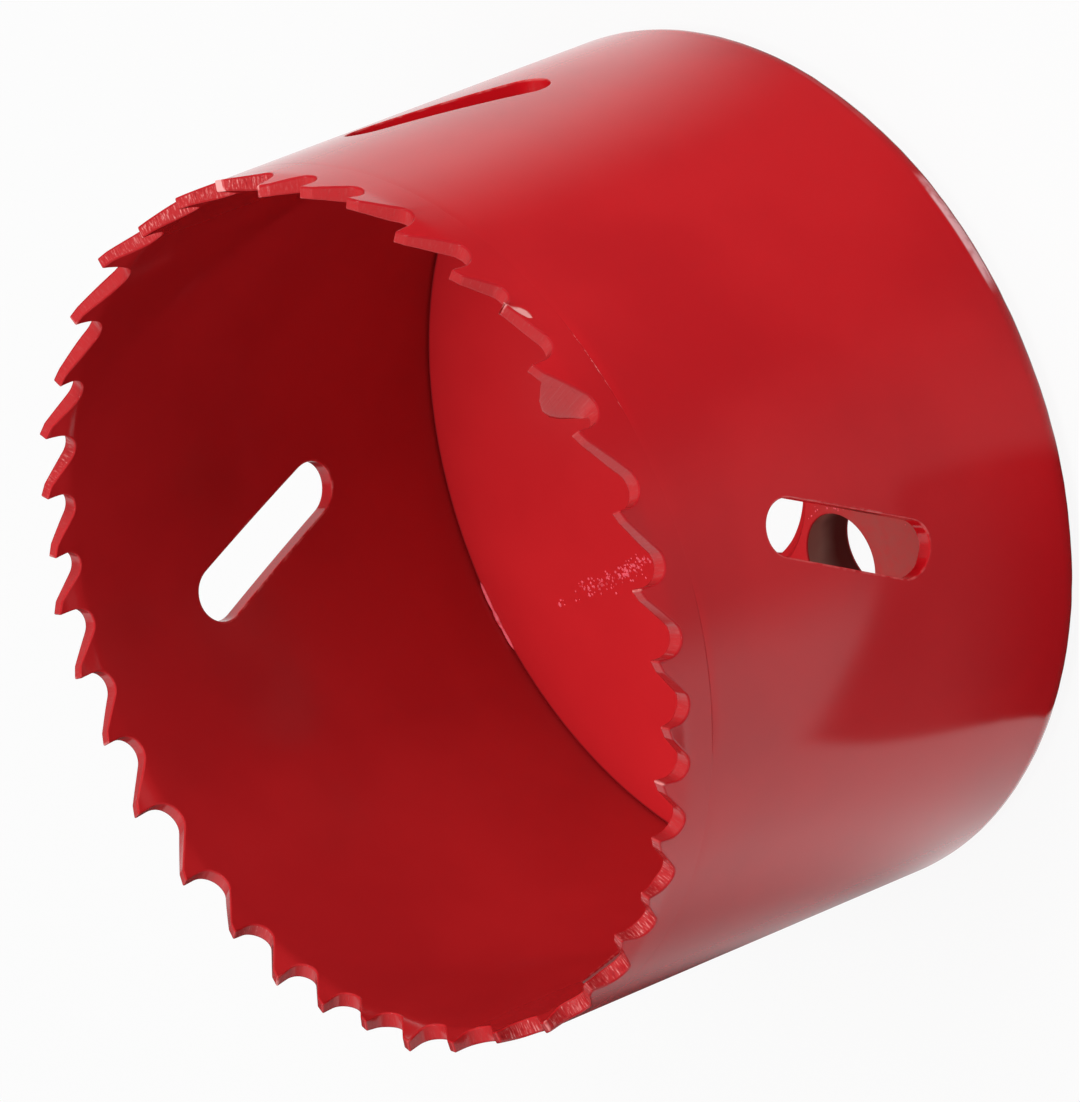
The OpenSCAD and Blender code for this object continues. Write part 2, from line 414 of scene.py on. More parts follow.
    # Painted highlight along the seam, where the groove is deep
    marks[[0, seamRow], :, 0] = seam["wear"] * smoothStep(groove, *seam["wearDepths"])
    # Painted glints and darker streaks on the coarse teeth, where they are worn little
    coarseAndGlint = np.repeat([t["coarseAndGlintTeeth"].get(number, 0) for number in range(t["count"])], len(x) // t["count"])
    marks[:, :, 0] -= coarseAndGlint[None, :] * near[:, None] * (wear < t["coarseAndGlintLimit"])[None, :]
    marks[:, :, 1] = along[None, :]
    marks[:, :, 2] = np.array(across)[:, None]
    points = np.concatenate([points, points[:, :1]], 1)
    marks = np.concatenate([marks, marks[:, -1:]], 1)
    return shell("toothedRim", [(points, marks)])


rimPiece = makeToothedEdge()

# The band behind it
slots = {
    "count": 4,
    "width": 4.1,
    "length": 15.3,
    "lean": 24.5,
    "level": 21.7,
    "firstAngle": -90,
    "edgeRound": 0.1,
    # Points along a quarter's ends and sides, rows from a slot to them, and rows through the wall
    "endPoints": 121,
    "sidePoints": 61,
    "flankSteps": 24,
    "flankPower": 1.5,
    "wallShares": [0.1, 0.3, 0.5, 0.7, 0.9],
}


def makeBand():
    # Each quarter is a ring of points from its slot's outline to the quarter's border, down one side of the wall
    # and back up the other, on the cylinder x = sqrt(r^2 - y^2)
    s = slots
    low, high = saw["beadRadius"], saw["seamLevel"] - seam["depth"]
    level = s["level"]
    half = np.pi / s["count"]
    angles = np.linspace(-half, half, s["endPoints"])
    border = quarterBorder(angles, np.linspace(low, high, s["sidePoints"]))
    # Where a ray from the slot's middle to each border point crosses the slot's outline, which is a stadium
    ray = np.stack([border[:, 0] * saw["outerR"], border[:, 1] - level], -1)
    ray = ray / np.hypot(*ray.T)[:, None]
    tilt = np.radians(s["lean"])
    axis = np.array([np.sin(tilt), np.cos(tilt)])
    alongAxis, acrossAxis = ray @ axis, ray @ np.array([axis[1], -axis[0]])
    straight = (s["length"] - s["width"]) / 2
    slotR, edgeRound = s["width"] / 2, s["edgeRound"]
    grow = (np.arange(s["flankSteps"] + 1) / s["flankSteps"]) ** s["flankPower"]

    def outline(radius):
        toSide = radius / np.maximum(np.abs(acrossAxis), 1e-9)
        push = straight * np.abs(alongAxis)
        toEnd = push + np.sqrt(np.maximum(push**2 - straight**2 + radius**2, 0))
        return ray * np.where(toSide * np.abs(alongAxis) <= straight, toSide, toEnd)[:, None]

    def wall(radius, angle, height):
        return polar(radius + swell(angle, height), angle, height)

    def flank(radius, turn, share):
        # Between the rounded edge's rim and the border, by angle and level
        near = outline(slotR + edgeRound)
        angle = np.arcsin(near[:, 0] / radius)
        angle = angle + (border[:, 0] - angle) * share
        return wall(radius, angle + turn, near[:, 1] + level + (border[:, 1] - near[:, 1] - level) * share)

    def lip(radius, turn, back, inset):
        # Rounded edge of the slot: back from the slot's wall and set in from the surface
        place = outline(slotR + edgeRound * back)
        x = np.sqrt(radius**2 - place[:, 0] ** 2) + inset
        return wall(np.hypot(x, place[:, 0]), np.arctan2(place[:, 0], x) + turn, place[:, 1] + level)

    sheets = []
    for k in range(s["count"]):
        turn = np.radians(s["firstAngle"]) + 2 * np.pi * k / s["count"]
        outside = [flank(saw["outerR"], turn, share) for share in grow]
        inside = [flank(saw["innerR"], turn, share) for share in grow]
        outerLip = [lip(saw["outerR"], turn, back, -edgeRound * down) for back, down in cornerSteps]
        innerLip = [lip(saw["innerR"], turn, back, edgeRound * down) for back, down in cornerSteps]
        through = [outerLip[-1] * (1 - share) + innerLip[-1] * share for share in s["wallShares"]]
        points = np.stack(outside[::-1] + outerLip + through + innerLip[::-1] + inside)
        # The rounded edges are worn, with the row beside them
        counts = [len(grow) - 1, len(outerLip) + 1, len(through), len(innerLip) + 1, len(grow) - 1]
        mark = np.zeros(points.shape)
        mark[:, :, 0] = np.repeat([0, 1, 0, 1, 0], counts)[:, None]
        # The inner side takes the darker inside colour, a painted shade
        mark[-len(grow) - 2 :, :, 2] = acrossAt["inside"]
        sheets.append((points, mark))
        # The band's upper end has a bevel on each side of the seam, and its lower end is flat in the weld
        top = saw["seamLevel"]
        around = angles + turn
        ends = [
            wall(saw["outerR"], around, high),
            wall(saw["outerR"] - seamDepth(around), around, top),
            wall(saw["innerR"], around, top),
            wall(saw["innerR"], around, high),
        ]
        mark = np.zeros((len(ends), len(angles), 3))
        # Painted highlight on the outer bevel at the seam
        mark[1, :, 0] = seam["edgeHighlight"]
        mark[2:, :, 2] = acrossAt["inside"]
        sheets.append((np.stack(ends), mark))
        sheets.append((np.stack([wall(saw["outerR"], around, low), wall(saw["innerR"], around, low)]), 0))
    return shell("slottedWall", sheets)


bandPiece = makeBand()

# The plate that closes the cup
plate = {
    "pinCount": 4,
    "pinR": 3.4,
    "pinCircleR": 12.2,
    "pinAngle": -124,
    "pinRound": 0.12,
    # Points along a quarter's arcs and sides, rows from a pin hole to them, and rows through the hole
    "arcPoints": 91,
    "sidePoints": 41,
    "flankSteps": 18,
    "flankPower": 1.3,
    "holeShares": [0.03, 0.2, 0.4, 0.6, 0.8, 0.97],
    "pinEdgeWear": 0.2,
    "creaseAngle": 35,
    # The rim's bevel bulges a little, by shares of its size
    "bevelBulge": (0.3, 0.12),
    # The thread: its ridges are steeper than a plain triangle wave, and fade out towards both ends
    "threadPitch": 1.411,
    "crestR": 7.3,
    "ridgeGain": 1.35,
    "ridgeCut": 0.12,
    "runOut": 0.35,
    "boreLevels": 73,
    # Crumbs of weld and runs of enamel under the coat: radius and angle of the place, half length along the
    # rim, half width and height
    "crumbs": [
        (23.2, 115.8, 0.22, 0.16, 0.1),
        (19.8, 118.3, 0.16, 0.12, 0.08),
        (15.8, 120.0, 0.2, 0.14, 0.1),
        (12.2, 124.4, 0.14, 0.14, 0.08),
        (15.6, 128.8, 0.12, 0.1, 0.07),
        (17.2, 122.5, 0.1, 0.1, 0.06),
        (21.4, 117.2, 0.1, 0.08, 0.05),
        (13.6, 126.5, 0.1, 0.08, 0.06),
        (30.22, 108.5, 1.3, 0.16, 0.14),
        (30.22, 111.8, 0.9, 0.2, 0.17),
        (30.22, 114.6, 1.1, 0.15, 0.12),
    ],
    # Fine spatter: how many crumbs, the ends of its streak as radius and angle, its spread and its crumbs' size
    "spatter": [
        (150, (19.8, 117.0), (12.4, 123.4), 0.32, (0.04, 0.14)),
        (7, (23.4, 115.2), (20.0, 117.0), 0.25, (0.04, 0.1)),
        (90, (9.3, -121.0), (11.8, -101.0), 0.5, (0.04, 0.1)),
        (16, (17.0, -100.0), (24.0, -104.0), 1.6, (0.05, 0.09)),
    ],
    "spatterSeed": 21,
    # Half width and height of a crumb of spatter, as shares of its half length
    "spatterShape": (0.8, 0.6),
    # Spatter is left out this close to the bore, the rim and the pin hole
    "spatterClear": (0.6, 0.3, 0.35),
    "crumbSteps": (6, 9),
    # Pale mark on the crumbs: worn enamel and a painted sparkle
    "crumbWearAndSparkle": 0.9,
    "dustPlace": (20.0, -99.0),
    "dustReach": (5.0, 13.0),
}


def spatterCrumbs(outerR):
    # Each crumb lies at an even draw along its streak, plus a normal draw in x and y
    p = plate
    random = np.random.default_rng(p["spatterSeed"])
    pin = flatPoint(p["pinCircleR"], p["pinAngle"])
    boreClear, rimClear, pinClear = p["spatterClear"]
    wide, high = p["spatterShape"]
    crumbs = []
    for number, first, last, spread, (least, most) in p["spatter"]:
        start, end = flatPoint(*first), flatPoint(*last)
        share = random.uniform(0, 1, (number, 1))
        places = start + (end - start) * share + random.normal(0, spread, (number, 2))
        sizes = random.uniform(least, most, number)
        radii = np.hypot(*places.T)
        clear = (radii > saw["boreR"] + boreClear) & (radii < outerR - rimClear)
        clear &= np.hypot(*(places - pin).T) > p["pinR"] + pinClear
        angles = np.degrees(np.arctan2(places[:, 1], places[:, 0]))
        crumbs += [(r, a, z, z * wide, z * high) for r, a, z, ok in zip(radii, angles, sizes, clear) if ok]
    return crumbs


def makePlate():
    # Each quarter of a face is a ring of points from its pin hole to the quarter's border. The bore's wall is
    # r(angle, z), whose ridges climb by one pitch a turn.
    p = plate
    half = np.pi / p["pinCount"]
    thick, bevel, boreBevel = saw["plateThickness"], saw["plateBevel"], saw["boreBevel"]
    innerR, outerR = saw["boreR"] + boreBevel, saw["plateR"] - bevel
    pinR, pinRound = p["pinR"], p["pinRound"]
    arc = np.linspace(-half, half, p["arcPoints"])
    grow = (np.arange(p["flankSteps"] + 1) / p["flankSteps"]) ** p["flankPower"]
    boreLevels = np.linspace(thick - boreBevel, boreBevel, p["boreLevels"])
    bulge, bulgeEnd = [bevel * share for share in p["bevelBulge"]]
    rimRows = [
        (outerR, thick),
        (saw["plateR"] - bulge, thick - bulgeEnd),
        (saw["plateR"] - bulgeEnd, thick - bulge),
        (saw["plateR"], thick - bevel),
        (saw["plateR"], saw["beadRadius"]),
        (saw["faceR"], 0),
    ]

    def dust(points):
        # Dull overspray on the inner face, as a soft patch
        near, far = p["dustReach"]
        away = np.linalg.norm(points[..., :2] - flatPoint(*p["dustPlace"]), axis=-1)
        return smoothStep(-away, -far, -near) * (points[..., 2] > 1)

    def bore(angles):
        # The ridge is |2 * (z / pitch - turns) - 1|, stretched, clipped to 0..1 and half eased
        climb = (boreLevels[:, None] / p["threadPitch"] - angles[None, :] / (2 * np.pi)) % 1
        ridge = np.clip(np.abs(2 * climb - 1) * p["ridgeGain"] - p["ridgeCut"], 0, 1)
        ridge = smoothStep(ridge, 0, 1) * 0.5 + ridge * 0.5
        fade = smoothStep(boreLevels, boreBevel, boreBevel + p["runOut"])
        fade = fade * smoothStep(-boreLevels, boreBevel - thick, boreBevel - thick + p["runOut"])
        radii = saw["boreR"] - (saw["boreR"] - p["crestR"]) * ridge * fade[:, None]
        wall = polar(radii, angles[None, :], boreLevels[:, None])
        return np.concatenate([polar(innerR, angles, thick)[None], wall, polar(innerR, angles, 0)[None]])

    sheets = []
    for k in range(p["pinCount"]):
        turn = np.radians(p["pinAngle"]) + 2 * np.pi * k / p["pinCount"]
        angles = arc + turn
        centre = polar(p["pinCircleR"], turn, 0)

        def borderAt(outer, level):
            border = quarterBorder(arc, np.linspace(innerR, outer, p["sidePoints"]))
            return polar(border[:, 1], border[:, 0] + turn, level)

        way = borderAt(outerR, 0) - centre
        around = np.arctan2(way[:, 1], way[:, 0])

        def ring(radius, level):
            return centre + polar(radius, around, level)

        def face(outer, level, inset):
            # A face from its pin hole's rounded edge to its border, and the steps of that edge
            near, far = ring(pinR + pinRound, level), borderAt(outer, level)
            lips = [ring(pinR + pinRound * back, level + inset * down) for back, down in cornerSteps]
            return [near + (far - near) * share for share in grow], lips

        topFace, topLip = face(outerR, thick, -pinRound)
        lowFace, lowLip = face(saw["faceR"], 0, pinRound)
        hole = [ring(pinR, thick - pinRound - share * (thick - 2 * pinRound)) for share in p["holeShares"]]
        runs = [topFace[::-1], topLip, hole, lowLip[::-1], lowFace]
        points = np.concatenate(runs)
        mark = np.zeros(points.shape)
        wear = [0, p["pinEdgeWear"], -1, p["pinEdgeWear"], 0]
        mark[:, :, 0] = np.repeat(wear, [len(run) for run in runs])[:, None]
        mark[:, :, 2] = dust(points)
        sheets.append((points, mark))
        # The rim is marked between its two ends for a painted shade in the corner
        mark = np.zeros((len(rimRows), len(angles), 3))
        mark[1:-1, :, 1] = 1
        sheets.append((np.stack([polar(radius, angles, level) for radius, level in rimRows]), mark))
        sheets.append((bore(angles), 0))
    # Crumbs are flat ellipsoids that stand half out of the inner face, marked pale for worn enamel and a painted
    # sparkle
    rise = np.linspace(0, np.pi, p["crumbSteps"][0])[:, None]
    turns = np.linspace(0, 2 * np.pi, p["crumbSteps"][1])[None, :]
    for radius, angle, long, wide, high in p["crumbs"] + spatterCrumbs(outerR):
        sideways = long * np.sin(rise) * np.cos(turns)
        outwards = wide * np.sin(rise) * np.sin(turns)
        level = thick + high * np.cos(rise) + 0 * turns
        place = polar(radius + outwards, math.radians(angle) + sideways / radius, level)
        sheets.append((place, (p["crumbWearAndSparkle"], 0, 0)))
    return shell("backDisc", sheets, p["creaseAngle"])


platePiece = makePlate()

# The bead of weld round the rear edge
weld = {
    "aroundPoints": 721,
    "turnPoints": 25,
    # A fine ripple at half strength and a broad one: seed, waves a turn and rise
    "rippleSize": 0.035,
    "fineWaves": (7, [31, 47, 64, 83, 109], 2.0),
    "broadWaves": (8, [4, 7, 11, 17], 1.0),
    "fineShare": 0.5,
    "swellFrom": -0.8,
    # Stretches where the enamel is rubbed thin, with a painted highlight streak in the one at -58.5 degrees:
    # middle and half width in degrees, and how strong
    "rubsAndHighlight": [(-58.5, 12, 1.1), (-33, 14, 0.35), (62, 12, 0.7), (150, 20, 0.5), (-150, 9, 0.4)],
    "rubAndHighlightCore": 0.4,
    "rubAndHighlightTurn": (-0.75, -0.45, -0.14, 0.0),
}


def makeWeld():
    # Quarter round carried round the rear edge, with a ripple that fades out at both its borders as sin(2 * turn)
    w = weld
    around = np.linspace(0, 2 * np.pi, w["aroundPoints"])
    turn = -np.pi / 2 * np.linspace(1, 0, w["turnPoints"])
    radius = saw["beadRadius"]
    fade = w["rippleSize"] * np.sin(2 * (turn + np.pi / 2))[:, None]
    fine = waves(around[None, :], turn[:, None], *w["fineWaves"])
    broad = waves(around[None, :], turn[:, None], *w["broadWaves"])
    reach = radius + (w["fineShare"] * fine + broad - 1) * fade
    wobble = swell(around[None, :], radius) * smoothStep(turn, w["swellFrom"], 0)[:, None]
    bead = polar(
        saw["faceR"] + reach * np.cos(turn)[:, None] + wobble,
        around[None, :],
        radius + reach * np.sin(turn)[:, None],
    )
    back = np.stack([bead[-1], polar(saw["plateR"], around, radius), bead[0]])
    # Rubbed enamel on the bead's upper part, with a painted highlight streak
    rubAndHighlight = 0
    for middle, half, strength in w["rubsAndHighlight"]:
        away = angleFrom(np.degrees(around), middle)
        rubAndHighlight = rubAndHighlight + strength * smoothStep(-away, -half, -half * w["rubAndHighlightCore"])
    a, b, c, d = w["rubAndHighlightTurn"]
    mark = np.zeros(bead.shape)
    mark[:, :, 0] = rubAndHighlight[None, :] * (smoothStep(turn, a, b) * (1 - smoothStep(turn, c, d)))[:, None]
    return shell("rearBead", [(bead, mark), (back, 0)])


weldPiece = makeWeld()
print("pieces made")


class Signal:
    # A value inside a material. Sums, differences, products and powers of signals add Math nodes.
    def __init__(self, finish, socket):
        self.finish = finish
        self.socket = socket

    def __add__(self, other):
        return self.finish.join("ADD", self, other)

    def __radd__(self, other):
        return self.finish.join("ADD", other, self)

    def __sub__(self, other):
        return self.finish.join("SUBTRACT", self, other)

    def __rsub__(self, other):
        return self.finish.join("SUBTRACT", other, self)

    def __mul__(self, other):
        return self.finish.join("MULTIPLY", self, other)

    def __rmul__(self, other):
        return self.finish.join("MULTIPLY", other, self)

    def __pow__(self, other):
        return self.finish.join("POWER", self, other)


class Finish:
    # A material or world that is written as expressions
    def __init__(self, holder):
        self.holder = holder
        holder.use_nodes = True
        self.tree = holder.node_tree
        self.tree.nodes.clear()
        self.object = self.node("TexCoord", output="Object")

    def node(self, kind, settings=None, sockets=None, output=0):
        # A node of this kind: its settings first, then the values or signals of its sockets
        made = self.tree.nodes.new("ShaderNode" + kind)
        for name, value in (settings or {}).items():
            setattr(made, name, value)
        for name, value in (sockets or {}).items():
            if isinstance(value, Signal):
                self.tree.links.new(value.socket, made.inputs[name])
            else:
                made.inputs[name].default_value = value
        return Signal(self, made.outputs[output]) if made.outputs else None

    def join(self, kind, first, second):
        return self.node("Math", {"operation": kind}, {0: first, 1: second})

    def part(self, vector, axis):
        return self.node("SeparateXYZ", {}, {"Vector": vector}, axis)

    def rays(self):
        # Whether the camera, glass or gloss is looking
        kinds = ("Camera", "Transmission", "Glossy")
        return [self.node("LightPath", output="Is " + kind + " Ray") for kind in kinds]

    def noise(self, scale, detail=2.0, roughness=0.5, where=None):
        sockets = {"Vector": where or self.object, "Scale": scale, "Detail": detail, "Roughness": roughness}
        return self.node("TexNoise", {}, sockets)

    def ease(self, value, low, high, least=0.0, most=1.0):
        # A smooth step of a signal between two levels
        sockets = {"Value": value, "From Min": low, "From Max": high, "To Min": least, "To Max": most}
        return self.node("MapRange", {"interpolation_type": "SMOOTHSTEP"}, sockets)

    def window(self, value, a, b, c, d):
        # Rises from a to b and falls from c to d
        return self.ease(value, a, b) * (1 - self.ease(value, c, d))

    def blend(self, share, first, second):
        # Mixes two colours
        sockets = {0: share}
        for place, shade in ((6, first), (7, second)):
            sockets[place] = shade if isinstance(shade, Signal) else (*shade, 1)
        return self.node("Mix", {"data_type": "RGBA"}, sockets, 2)

    def finish(self, shader, kind="OutputMaterial"):
        self.node(kind, {}, {"Surface": shader})
        return self.holder


# Ground and milled faces between the strip's two sides, with fine marks that run across the strip, painted glints
# and darker streaks in them, and a painted shade along the outer edge. Their places across it come first, then how
# fine the marks are, and then how strong, on plain and on coarse teeth.
grinding = {
    "faceAcross": (0.03, 0.12, 1.1, 1.17),
    "edgeShadeAcross": (0.005, 0.04, 0.06, 0.13),
    "innerAcross": (1.12, 1.18),
    "alongScale": 7.0,
    "acrossScale": 1.1,
    "facetScale": 1500.0,
    "coarseAndGlintRange": (0.1, 0.9),
    "tintShare": (0.75, 0.25),
    "tintRange": (0.3, 0.7),
    "glintShare": (0.06, 0.8),
    "glintRange": (0.5, 0.8),
    "darkShare": 0.7,
    "darkRange": (0.3, 0.45),
    "markHeight": (0.006, 0.02),
    "facetHeight": 0.014,
    "edgeShadeShare": 0.3,
}


def enamel(name, look):
    # Glossy enamel over steel. Its colour drifts a little and thins along edges, it takes painted highlights,
    # glints and shade where its look and mark ask for them, and its gloss has an orange peel.
    f = Finish(bpy.data.materials.new(name))
    g = grinding
    mark = f.node("Attribute", {"attribute_name": "mark"}, {}, "Vector")
    wearAndHighlightMark, along, across = [f.part(mark, axis) for axis in range(3)]
    # Marks above one, mostly painted highlights and glints, are pale over more of their spots
    patch = f.noise(look["patchScale"], 2.0, 0.6) + f.ease(wearAndHighlightMark, *look["bareAndGlintRange"]) * look["bareAndGlintGain"]
    wornAndHighlighted = f.ease(wearAndHighlightMark, *look["wearAndHighlightRange"]) * f.ease(patch, look["patchLow"], look["patchHigh"])
    cloud = f.noise(look["cloudScale"], 3.0)
    drift = f.ease(cloud, *look["cloudRange"])
    colour = f.blend(drift, look["deep"], look["bright"])
    height = f.noise(look["peelScale"], 2.0) * look["peel"] + f.noise(look["driftScale"], 1.0) * look["drift"]
    rough = look["rough"] + f.ease(cloud, *look["roughRange"]) * look["roughDrift"]
    metal = 0.0
    # Painted shade and reflection: the inside of the cup is a darker red with a little more green and blue
    if "inner" in look:
        inside = f.ease(across, *g["innerAcross"])
        colour = f.blend(inside, colour, f.blend(drift, look["inner"], look["innerBright"]))
    if "groundTintAndSheen" in look:
        face = f.window(across, *g["faceAcross"])
        where = {"X": along * g["alongScale"], "Y": across * g["acrossScale"], "Z": 0.0}
        grind = f.noise(1.0, 3.0, 0.6, f.node("CombineXYZ", {}, where))
        facet = f.part(f.node("TexVoronoi", {}, {"Vector": f.object, "Scale": g["facetScale"]}, "Color"), 0)
        coarseAndGlint = f.ease(-1.0 * wearAndHighlightMark, *g["coarseAndGlintRange"])
        # The ground faces are tinted: thinner enamel over ground steel, and a painted sheen
        plain, gain = g["tintShare"]
        colour = f.blend(face * (plain + gain * f.ease(grind, *g["tintRange"])), colour, look["groundTintAndSheen"])
        # Painted glints in the grinding marks, stronger on coarse teeth
        plain, gain = g["glintShare"]
        glint = face * f.ease(grind, *g["glintRange"]) * (plain + coarseAndGlint * gain)
        colour = f.blend(glint, colour, look["paleTintAndHighlight"])
        dark = face * (1 - f.ease(grind, *g["darkRange"])) * coarseAndGlint * g["darkShare"]
        colour = f.blend(dark, colour, look["darkStreakAndEdgeShade"])
        plain, gain = g["markHeight"]
        height = height + face * (grind * (plain + coarseAndGlint * gain) + facet * g["facetHeight"])
        # Painted shade along the outer rounded edge
        colour = f.blend(f.window(across, *g["edgeShadeAcross"]) * g["edgeShadeShare"], colour, look["darkStreakAndEdgeShade"])
    if "corner" in look:
        # Painted shade on the plate's rim, in the corner between the plate and the band
        colour = f.blend(along * look["cornerShare"], colour, look["corner"])
    if "dust" in look:
        dustShare = across * f.ease(f.noise(look["dustScale"], 3.0, 0.7), *look["dustRange"])
        colour = f.blend(dustShare * look["dustShare"], colour, look["dust"])
        rough = rough + dustShare * look["dustRough"]
    # Worn enamel and the painted highlights and glints, in the pale tint
    colour = f.blend(wornAndHighlighted * look["edgeShare"], colour, look["paleTintAndHighlight"])
    if "steel" in look:
        # Bare steel in the pin holes, with a painted shade and a painted reddish reflection towards the rear face
        bare = f.ease(-1.0 * wearAndHighlightMark, *look["steelRange"])
        scale, rise = look["steelDrift"]
        deep = 1 - f.ease(f.part(f.object, 2) + (f.noise(scale, 2.0) - 0.5) * rise, *look["steelShadeLevels"])
        colour = f.blend(bare, colour, f.blend(deep, look["steel"], look["steelShadeAndReflection"]))
        metal = bare * look["steelMetal"]
        rough = rough + bare * look["steelRough"]
    sockets = {
        "Base Color": colour,
        "Roughness": rough,
        "Metallic": metal,
        "Specular IOR Level": look["gloss"],
        "Normal": f.node("Bump", {}, {"Height": height, "Distance": 0.001, "Strength": 1.0}),
    }
    return f.finish(f.node("BsdfPrincipled", {}, sockets))


# Colours are linear, and the pale tint is that of thin enamel on an edge and of painted highlights and glints
commonLook = {
    "deep": (0.53, 0.005, 0.010),
    "bright": (0.60, 0.007, 0.012),
    "paleTintAndHighlight": (0.82, 0.24, 0.23),
    "cloudScale": 60,
    "cloudRange": (0.35, 0.65),
    "wearAndHighlightRange": (0.2, 1.0),
    "bareAndGlintRange": (1.0, 1.5),
    "bareAndGlintGain": 0.4,
    "patchScale": 900,
    "patchLow": 0.42,
    "patchHigh": 0.62,
    "edgeShare": 0.3,
    "peelScale": 420,
    "peel": 0.004,
    "driftScale": 90,
    "drift": 0.02,
    "rough": 0.11,
    "roughRange": (0.3, 0.7),
    "roughDrift": 0.05,
    "gloss": 0.5,
}
# The inside of the cup is a darker red with a little more green and blue: painted shade and reflection
insideShadeLook = {"inner": (0.42, 0.013, 0.016), "innerBright": (0.48, 0.016, 0.019)}
looks = {
    "wallEnamel": insideShadeLook,
    "toothEnamel": {
        **insideShadeLook,
        # Ground tint with a painted sheen, a dark colour for streaks and painted edge shade, and a pale tint for
        # wear and painted glints
        "groundTintAndSheen": (0.46, 0.024, 0.027),
        "darkStreakAndEdgeShade": (0.20, 0.004, 0.010),
        "paleTintAndHighlight": (0.95, 0.42, 0.40),
        "edgeShare": 0.85,
    },
    "beadEnamel": {
        # Pale tint of rubbed enamel and of the painted highlight streak
        "paleTintAndHighlight": (1.0, 0.58, 0.60),
        "patchScale": 650,
        "patchLow": 0.2,
        "patchHigh": 0.58,
        "edgeShare": 0.85,
    },
    "plateEnamel": {
        "deep": (0.52, 0.013, 0.018),
        "bright": (0.57, 0.016, 0.021),
        "paleTintAndHighlight": (1.0, 0.17, 0.23),
        "edgeShare": 0.7,
        "patchLow": 0.2,
        "patchHigh": 0.5,
        "rough": 0.36,
        # Painted shade in the corner at the plate's rim
        "corner": (0.09, 0.004, 0.006),
        "cornerShare": 0.8,
        "dust": (0.34, 0.085, 0.075),
        "dustScale": 1400,
        "dustRange": (0.2, 0.7, 0.55, 1.0),
        "dustShare": 0.75,
        "dustRough": 0.3,
        "steel": (0.75, 0.46, 0.38),
        # Steel deeper in the pin holes: a painted shade and reddish reflection
        "steelShadeAndReflection": (0.28, 0.045, 0.038),
        "steelRange": (0.3, 0.7),
        "steelDrift": (260, 0.0022),
        "steelShadeLevels": (0.0012, 0.0034),
        "steelMetal": 0.75,
        "steelRough": 0.3,
    },
}
finishes = {name: enamel(name, {**commonLook, **look}) for name, look in looks.items()}


def dress(piece, node, material):
    piece.data.materials.append(material)
    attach(piece, "root")
    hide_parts(node)


dress(rimPiece, "toothed_edge", finishes["toothEnamel"])
dress(bandPiece, "slotted_band", finishes["wallEnamel"])
dress(platePiece, "back_plate", finishes["plateEnamel"])
dress(weldPiece, "rear_weld", finishes["beadEnamel"])
print("materials set")

# Floor, light and camera
studio = {
    "floorHalf": 1.5,
    "floorShade": (0.58, 0.58, 0.58),
    "whiteShare": 0.92,
    "glossShare": 0.97,
    "world": 0.22,
    # Glossy surfaces see a pale backdrop between these elevations and these azimuths
    "backdropRise": (-2, 6, 44, 58),
    "backdropTurn": (88, 108, 172, 192),
    "backdropLevel": 0.72,
    # Reflections see the floor dimmer in front, as the photograph's studio is darker on that side: it fades in
    # over the first two angles and out over the last two, which shift with the distance from the saw
    "dimAngles": (-116, -98, -26, 8),
    "dimShift": -450,
    "dimReach": 0.036,
    "dimLevel": (0.36, 0.12),
    "dimTurn": (-88, -56),
    # Close to the saw the floor is darkest between these angles, with a slanted outer border and a bent lower one
    "shadeAngles": (-138.6, -137.4, -92, -87),
    "shadeBend": 545,
    "shadeBendReach": 0.049,
    "shadeReach": (0.0593, 0.0607),
    "shadeSlope": 0.01268,
    "shadeCorner": -133,
    "shadeNear": (0.034, 0.047),
    "shadeLevel": (0.02, 0.17),
    # Behind the saw it darkens in two steps, and it is white again at the last angle, after a fade in radians
    "tailAngles": ((-154, -178, 0.58), (-189, -207, 0.38)),
    "tailEnd": -270,
    "tailFade": 0.3,
    # It is dark under the saw, where the holes in the plate would show it in the wall
    "underReach": (0.024, 0.031),
    "underLevel": 0.08,
    # Each lamp: azimuth and elevation of where it stands, distance and side in metres, power in watts.
    # Only the small one shows in reflections, as glints on the ground teeth.
    "lamps": {
        "keyBox": (-12, 38, 0.8, 0.5, 3.4),
        "topBox": (-60, 82, 0.9, 0.5, 5.6),
        "frontBox": (-62, 4, 0.9, 0.4, 0.9),
        "leftBox": (-172, 24, 0.9, 0.5, 0.85),
        "glintBox": (-70, 76, 0.9, 0.09, 0.22),
    },
    "lampTarget": (0, 0, 0.02),
}


def radians(angles):
    return [math.radians(angle) for angle in angles]


